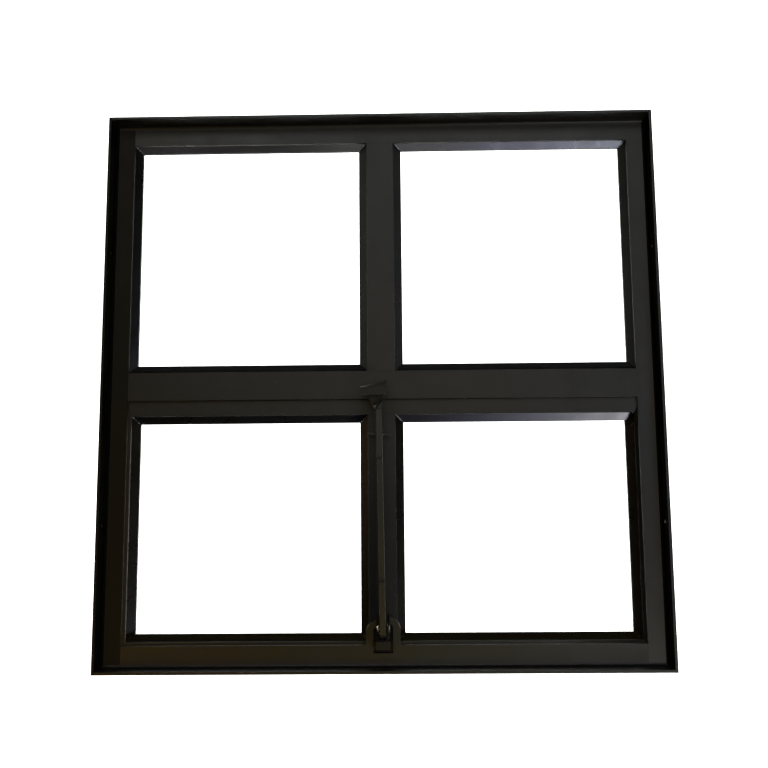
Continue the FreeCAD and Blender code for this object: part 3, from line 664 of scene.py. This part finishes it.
def add_sweep():
    """A pale floor that curves up into a backdrop behind the window."""
    profile = [(FLOOR_FRONT, 0.0), (WALL_PLACE - BEND_RADIUS, 0.0)]
    for step in range(1, BEND_STEPS + 1):
        angle = math.pi / 2 * step / BEND_STEPS
        profile.append((
            WALL_PLACE - BEND_RADIUS + BEND_RADIUS * math.sin(angle),
            BEND_RADIUS - BEND_RADIUS * math.cos(angle),
        ))
    profile.append((WALL_PLACE, WALL_TOP))
    corners = []
    for y, z in profile:
        corners += [(-FLOOR_HALF, y, z - FLOOR_DROP), (FLOOR_HALF, y, z - FLOOR_DROP)]
    faces = [(2 * i, 2 * i + 1, 2 * i + 3, 2 * i + 2) for i in range(len(profile) - 1)]
    mesh = bpy.data.meshes.new("floor")
    mesh.from_pydata(corners, [], faces)
    mesh.shade_smooth()
    mesh.materials.append(pale_floor())
    floor = bpy.data.objects.new("floor", mesh)
    bpy.context.scene.collection.objects.link(floor)
    floor.visible_glossy = False
    floor.visible_shadow = False
    floor.visible_diffuse = False
    return floor


def add_area_light(name, place, target, size, power, colour):
    """A soft rectangular light that faces a target and isn't seen itself."""
    light = bpy.data.lights.new(name, "AREA")
    light.shape = "RECTANGLE"
    light.size, light.size_y = size
    light.energy = power
    light.color = colour
    lamp = bpy.data.objects.new(name, light)
    lamp.location = place
    lamp.rotation_euler = (Vector(target) - Vector(place)).to_track_quat("-Z", "Y").to_euler()
    lamp.visible_camera = False
    lamp.visible_transmission = False
    bpy.context.scene.collection.objects.link(lamp)
    return lamp


def add_world():
    """A pale surround that the camera sees and that lights nothing."""
    world = bpy.data.worlds.new("studio")
    world.use_nodes = True
    bpy.context.scene.world = world
    background = world.node_tree.nodes["Background"]
    background.inputs["Color"].default_value = (*WORLD_COLOUR, 1.0)
    background.inputs["Strength"].default_value = WORLD_STRENGTH
    world.cycles_visibility.diffuse = False
    world.cycles_visibility.glossy = False


def add_camera():
    """The photograph's view: low, close, and looking a little up."""
    camera = bpy.data.cameras.new("camera")
    camera.sensor_width = CAMERA_SENSOR
    camera.lens = CAMERA_LENS
    camera.clip_start = CAMERA_CLIP
    view = bpy.data.objects.new("camera", camera)
    view.location = CAMERA_PLACE
    view.rotation_euler = [math.radians(turn) for turn in CAMERA_TURN]
    bpy.context.scene.collection.objects.link(view)
    bpy.context.scene.camera = view


def new_collection(name, members):
    """A collection that holds the given objects, for the lamps that reach only these."""
    made = bpy.data.collections.new(name)
    for member in members:
        made.objects.link(member)
    return made


FACE_PIECES = [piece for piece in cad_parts.values() if piece not in STOP_PIECES]
UPPER_STOPS = [piece for piece in STOP_PIECES if piece.name.startswith("upper")]
LOWER_STOPS = [piece for piece in STOP_PIECES if piece not in UPPER_STOPS]
SOLID_FACES = [piece for piece in FACE_PIECES if not piece.name.endswith("_glass")]

backdrop = new_collection("backdrop", [add_sweep()])
upper_stops = new_collection("upper_stops", UPPER_STOPS)
lower_stops = new_collection("lower_stops", LOWER_STOPS)
faces = new_collection("faces", FACE_PIECES)
casters = new_collection("casters", [piece for piece in FACE_PIECES if piece.name not in OUTER_FRAME])
warm_faces = new_collection("warm_faces", [piece for piece in FACE_PIECES if piece.name != "sash_mullion"])
solid_pieces = new_collection("solid_pieces", STOP_PIECES + SOLID_FACES)

# Each lamp: its name, place, target, size, power and colour.
BACKDROP_LAMPS = (
    ("back_light", (0.0, 1.2, 2.6), (0.0, 1.2, 0.0), (3.0, 1.6), 130.0, (1.0, 1.0, 1.0)),
    ("wall_light", (0.0, 0.6, 2.2), (0.0, 2.2, 1.0), (3.0, 1.0), 60.0, (1.0, 1.0, 1.0)),
    ("floor_light", (0.0, -0.8, 2.6), (0.0, -0.8, 0.0), (3.0, 1.6), 90.0, (1.0, 1.0, 1.0)),
)
FACE_LAMPS = (
    ("low_key", (0.64, -0.76, -0.54), WINDOW_MIDDLE, (0.3, 0.3), 4.1, (0.98, 0.98, 0.94)),
    ("middle_panel", (0.05, -1.1, 0.45), (0.02, 0.0, 0.3), (1.0, 0.2), 0.95, (1.0, 0.93, 0.77)),
    ("upper_left_panel", (-0.35, -1.1, 1.1), (-0.14, 0.0, 0.58), (0.35, 0.40), 1.6, (0.86, 0.93, 1.0)),
    ("upper_right_panel", (0.35, -1.1, 1.1), (0.14, 0.0, 0.58), (0.35, 0.40), 1.65, (0.98, 0.99, 1.0)),
    ("left_panel", (-0.7, -1.1, 1.0), (-0.28, 0.0, 0.58), (0.35, 0.40), 0.6, (1.0, 0.86, 0.50)),
    ("right_panel", (0.7, -1.1, 0.4), (0.28, 0.0, 0.38), (0.35, 0.60), 0.85, (0.70, 0.80, 1.0)),
)
WARM_LAMPS = (
    ("warm_left", (-0.7, -1.1, -0.35), (-0.28, 0.0, 0.04), (0.35, 0.40), 1.2, (1.0, 0.50, 0.01)),
    ("warm_low", (0.05, -1.1, -0.35), (0.02, 0.0, 0.04), (0.45, 0.40), 0.58, (1.0, 0.75, 0.01)),
)
UPPER_STOP_LAMPS = (
    ("upper_stop_key", (0.7, -1.08, -0.06), (0.315, 0.0, 0.57), (0.3, 0.16), 3.5, (0.80, 0.90, 1.0)),
    ("upper_stop_fill", (0.4, -1.08, -0.06), (0.18, 0.0, 0.57), (0.3, 0.16), 2.1, (0.75, 0.72, 1.0)),
    ("upper_stop_middle", (0.0, -1.08, -0.06), (0.0, 0.0, 0.57), (0.3, 0.16), 0.8, (1.0, 1.0, 0.95)),
    ("upper_stop_end", (-0.55, -1.08, -0.06), (-0.25, 0.0, 0.57), (0.3, 0.16), 0.3, (1.0, 0.94, 0.94)),
    ("upper_stop_left", (-1.1, -0.74, 0.82), (-0.02, 0.0, 0.45), (0.4, 0.9), 0.64, (1.0, 1.0, 0.89)),
    ("upper_stop_right", (1.1, -0.74, 0.82), (0.02, 0.0, 0.45), (0.4, 0.9), 0.40, (0.96, 1.0, 0.98)),
    ("upper_stop_front", (-0.556, -1.08, 0.8), (0.27, 0.0, 0.45), (0.3, 0.7), 0.24, (1.0, 1.0, 0.88)),
)
LOWER_STOP_LAMPS = (
    ("lower_stop_key", (0.7, -0.82, -0.68), (0.315, 0.0, 0.262), (0.3, 0.16), 5.6, (0.96, 0.95, 1.0)),
    ("lower_stop_fill", (0.4, -0.82, -0.68), (0.18, 0.0, 0.262), (0.3, 0.16), 0.8, (0.61, 0.62, 1.0)),
    ("lower_stop_above", (0.0, -1.1, 1.1), WINDOW_MIDDLE, (0.5, 0.5), 5.0, (1.0, 0.79, 0.35)),
    ("lower_stop_left", (-1.1, -0.6, 0.3), WINDOW_MIDDLE, (0.5, 0.5), 0.3, (1.0, 0.72, 0.42)),
)
REAR_LAMPS = (
    ("rear_right", (0.8, 1.3, 0.9), WINDOW_MIDDLE, (0.7, 0.7), 8.0, (1.0, 1.0, 1.0)),
    ("rear_left", (-0.9, 1.2, 0.3), WINDOW_MIDDLE, (0.7, 0.7), 5.0, (1.0, 0.98, 0.95)),
    ("side_right", (1.3, 0.85, 0.6), WINDOW_MIDDLE, (0.5, 0.5), 14.0, (1.0, 1.0, 1.0)),
    ("side_left", (-1.3, 0.85, 0.6), WINDOW_MIDDLE, (0.5, 0.5), 14.0, (1.0, 0.99, 0.97)),
    ("over", (0.0, 0.95, 1.6), WINDOW_MIDDLE, (0.9, 0.4), 12.0, (1.0, 1.0, 1.0)),
)
# The lamps, the pieces that they reach and the pieces that throw shadows in their light, or None for all.
LAMP_GROUPS = (
    (BACKDROP_LAMPS, backdrop, backdrop),
    (FACE_LAMPS, faces, casters),
    (WARM_LAMPS, warm_faces, casters),
    (UPPER_STOP_LAMPS, upper_stops, None),
    (LOWER_STOP_LAMPS, lower_stops, None),
    (REAR_LAMPS, solid_pieces, None),
)
for lamps, reached, blockers in LAMP_GROUPS:
    for lamp in lamps:
        made = add_area_light(*lamp)
        made.light_linking.receiver_collection = reached
        made.light_linking.blocker_collection = blockers
add_world()
add_camera()
bpy.context.scene.view_settings.view_transform = "Standard"
